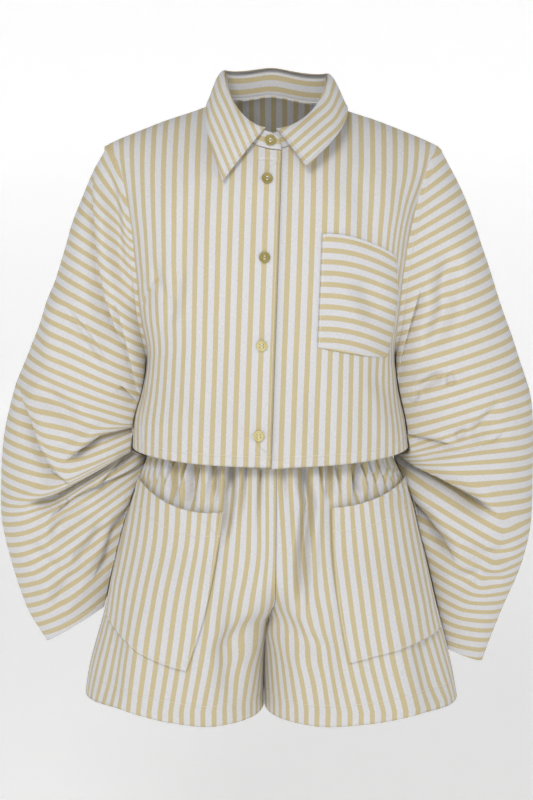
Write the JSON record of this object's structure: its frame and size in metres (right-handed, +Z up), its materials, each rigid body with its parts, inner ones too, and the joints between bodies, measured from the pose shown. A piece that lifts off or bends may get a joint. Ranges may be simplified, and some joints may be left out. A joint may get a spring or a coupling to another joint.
{
  "type": "shirt and shorts set",
  "caption": "Striped cotton set in its worn shape: cropped button shirt with wide curved sleeves and a chest pocket, over gathered shorts with patch pockets.",
  "frame": {"origin": "inside the neck, at the height where the shoulder seams meet the collar", "axes": "+Z up as worn, the front faces -Y, +X towards the wearer's left side"},
  "size_m": [0.704, 0.2464, 0.833],
  "materials": {
    "striped_cotton": "woven cotton with tan and light blue-white stripes and fine specks",
    "button": "olive-gold four-hole buttons with a soft gloss"
  },
  "bodies": {
    "root": {"shirt_front_right": "striped_cotton", "shirt_front_left": "striped_cotton", "shirt_back": "striped_cotton", "sleeve_right": "striped_cotton", "sleeve_left": "striped_cotton", "collar_stand": "striped_cotton", "collar_fall": "striped_cotton", "chest_pocket": "striped_cotton", "shorts_front_right": "striped_cotton", "shorts_front_left": "striped_cotton", "shorts_back_right": "striped_cotton", "shorts_back_left": "striped_cotton", "waistband": "striped_cotton", "shorts_pocket_right": "striped_cotton", "shorts_pocket_left": "striped_cotton", "button_1": "button", "button_2": "button", "button_3": "button", "button_4": "button", "button_5": "button"}
  },
  "joints": []
}
